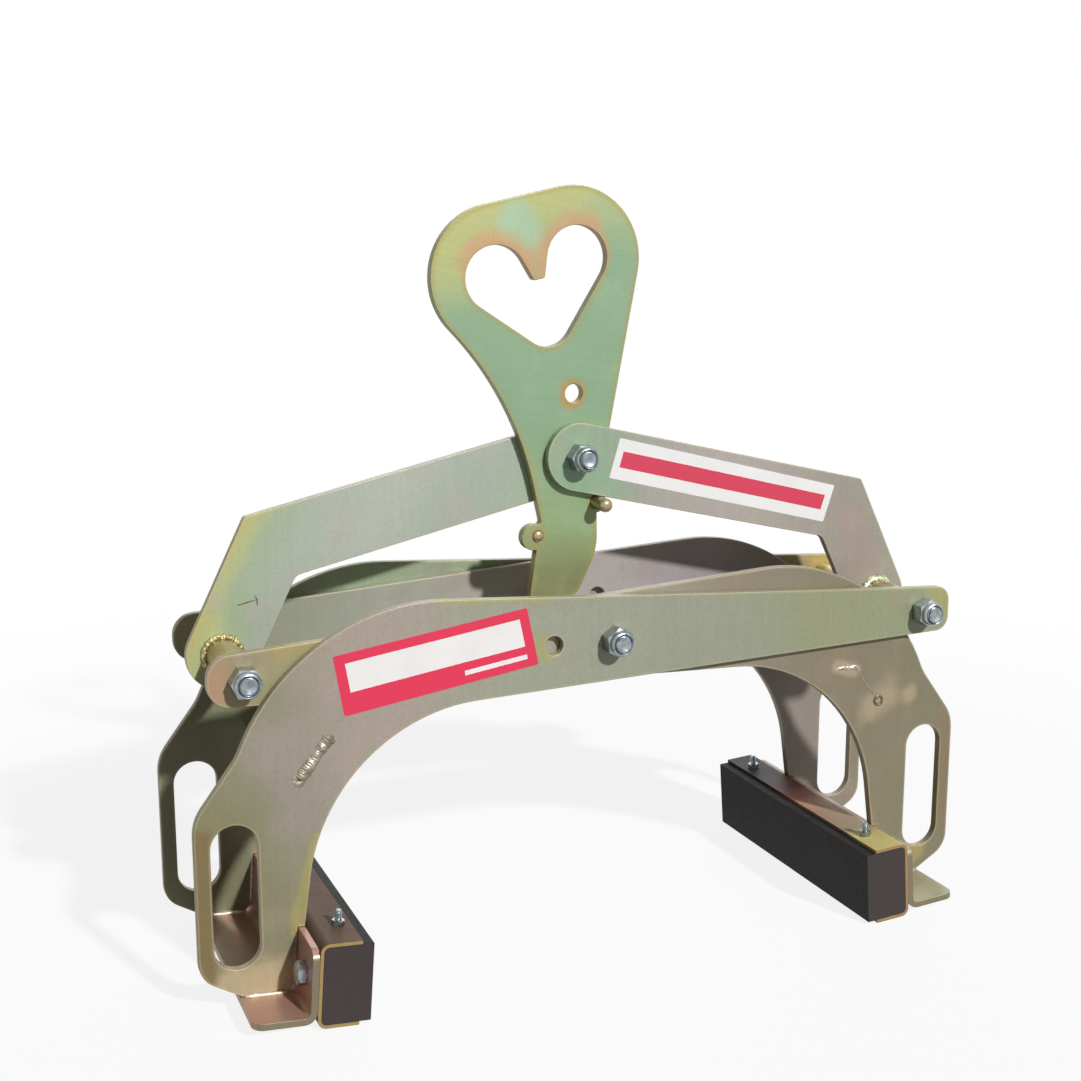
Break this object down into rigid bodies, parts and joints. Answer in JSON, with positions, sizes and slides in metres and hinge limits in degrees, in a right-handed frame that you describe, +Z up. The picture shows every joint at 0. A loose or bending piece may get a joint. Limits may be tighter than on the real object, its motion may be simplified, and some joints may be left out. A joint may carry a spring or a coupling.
{
  "type": "kerb lifter",
  "caption": "Scissor grab for lifting kerb stones: crossed jaws with rubber pads, cranked links and a lifting plate with a heart-shaped eye that closes the jaws under load.",
  "frame": {"origin": "on the floor under the middle of the grab", "axes": "+X along the grip towards the inner jaw's pad, +Y from the nuts' side to the bolt heads' side, +Z up"},
  "size_m": [0.763, 0.288, 0.6973],
  "materials": {
    "passivated_steel": "zinc plated steel plate, yellow passivated, olive to gold, satin",
    "bright_zinc": "bright zinc plated fasteners, bluish silver",
    "black_rubber": "matt black rubber"
  },
  "bodies": {
    "outer_jaw": {"outer_arm_front": "passivated_steel", "outer_arm_rear": "passivated_steel", "outer_spreader": "passivated_steel", "left_foot": "passivated_steel", "left_pad_channel": "passivated_steel", "left_rubber_pad": "black_rubber", "left_pad_bolts": "bright_zinc", "left_pad_nuts": "bright_zinc", "left_pad_screws": "bright_zinc", "left_pad_screw_nuts": "bright_zinc", "pivot_bolt": "bright_zinc", "pivot_nut": "bright_zinc", "pivot_washer": "bright_zinc", "right_end_bolt": "bright_zinc", "right_end_nut": "bright_zinc", "right_end_washer": "bright_zinc"},
    "inner_jaw": {"inner_arm_front": "passivated_steel", "inner_arm_rear": "passivated_steel", "inner_spreader": "passivated_steel", "right_foot": "passivated_steel", "right_pad_channel": "passivated_steel", "right_rubber_pad": "black_rubber", "right_pad_bolts": "bright_zinc", "right_pad_nuts": "bright_zinc", "right_pad_screws": "bright_zinc", "right_pad_screw_nuts": "bright_zinc", "pivot_spacer": "passivated_steel", "left_end_bolt": "bright_zinc", "left_end_nut": "bright_zinc", "left_end_washer": "bright_zinc"},
    "right_linkage": {"right_link": "passivated_steel", "right_link_sleeve": "passivated_steel"},
    "left_linkage": {"left_link": "passivated_steel", "left_link_sleeve": "passivated_steel"},
    "lifting_head": {"lifting_plate": "passivated_steel", "left_stop_pin": "passivated_steel", "right_stop_pin": "passivated_steel", "top_bolt": "bright_zinc", "top_nut": "bright_zinc", "top_washer": "bright_zinc"}
  },
  "joints": [
    {"name": "jaw_fold", "type": "hinge", "parent": "outer_jaw", "child": "inner_jaw", "pos_m": [0, 0, 0.296], "axis": [0, 1, 0], "range_deg": [0, 40]},
    {"name": "right_link_fold", "type": "hinge", "parent": "outer_jaw", "child": "right_linkage", "pos_m": [0.333, 0, 0.292], "axis": [0, 1, 0], "range_deg": [0, 25.2]},
    {"name": "left_link_fold", "type": "hinge", "parent": "inner_jaw", "child": "left_linkage", "pos_m": [-0.333, 0, 0.292], "axis": [0, 1, 0], "range_deg": [-25.2, 0]},
    {"name": "plate_tilt", "type": "hinge", "parent": "right_linkage", "child": "lifting_head", "pos_m": [0, 0, 0.451], "axis": [0, 1, 0], "range_deg": [0, 10]}
  ],
  "couplings": [
    {"joint": "right_link_fold", "follows": "jaw_fold", "ratio": 0.628},
    {"joint": "left_link_fold", "follows": "jaw_fold", "ratio": -0.628}
  ]
}
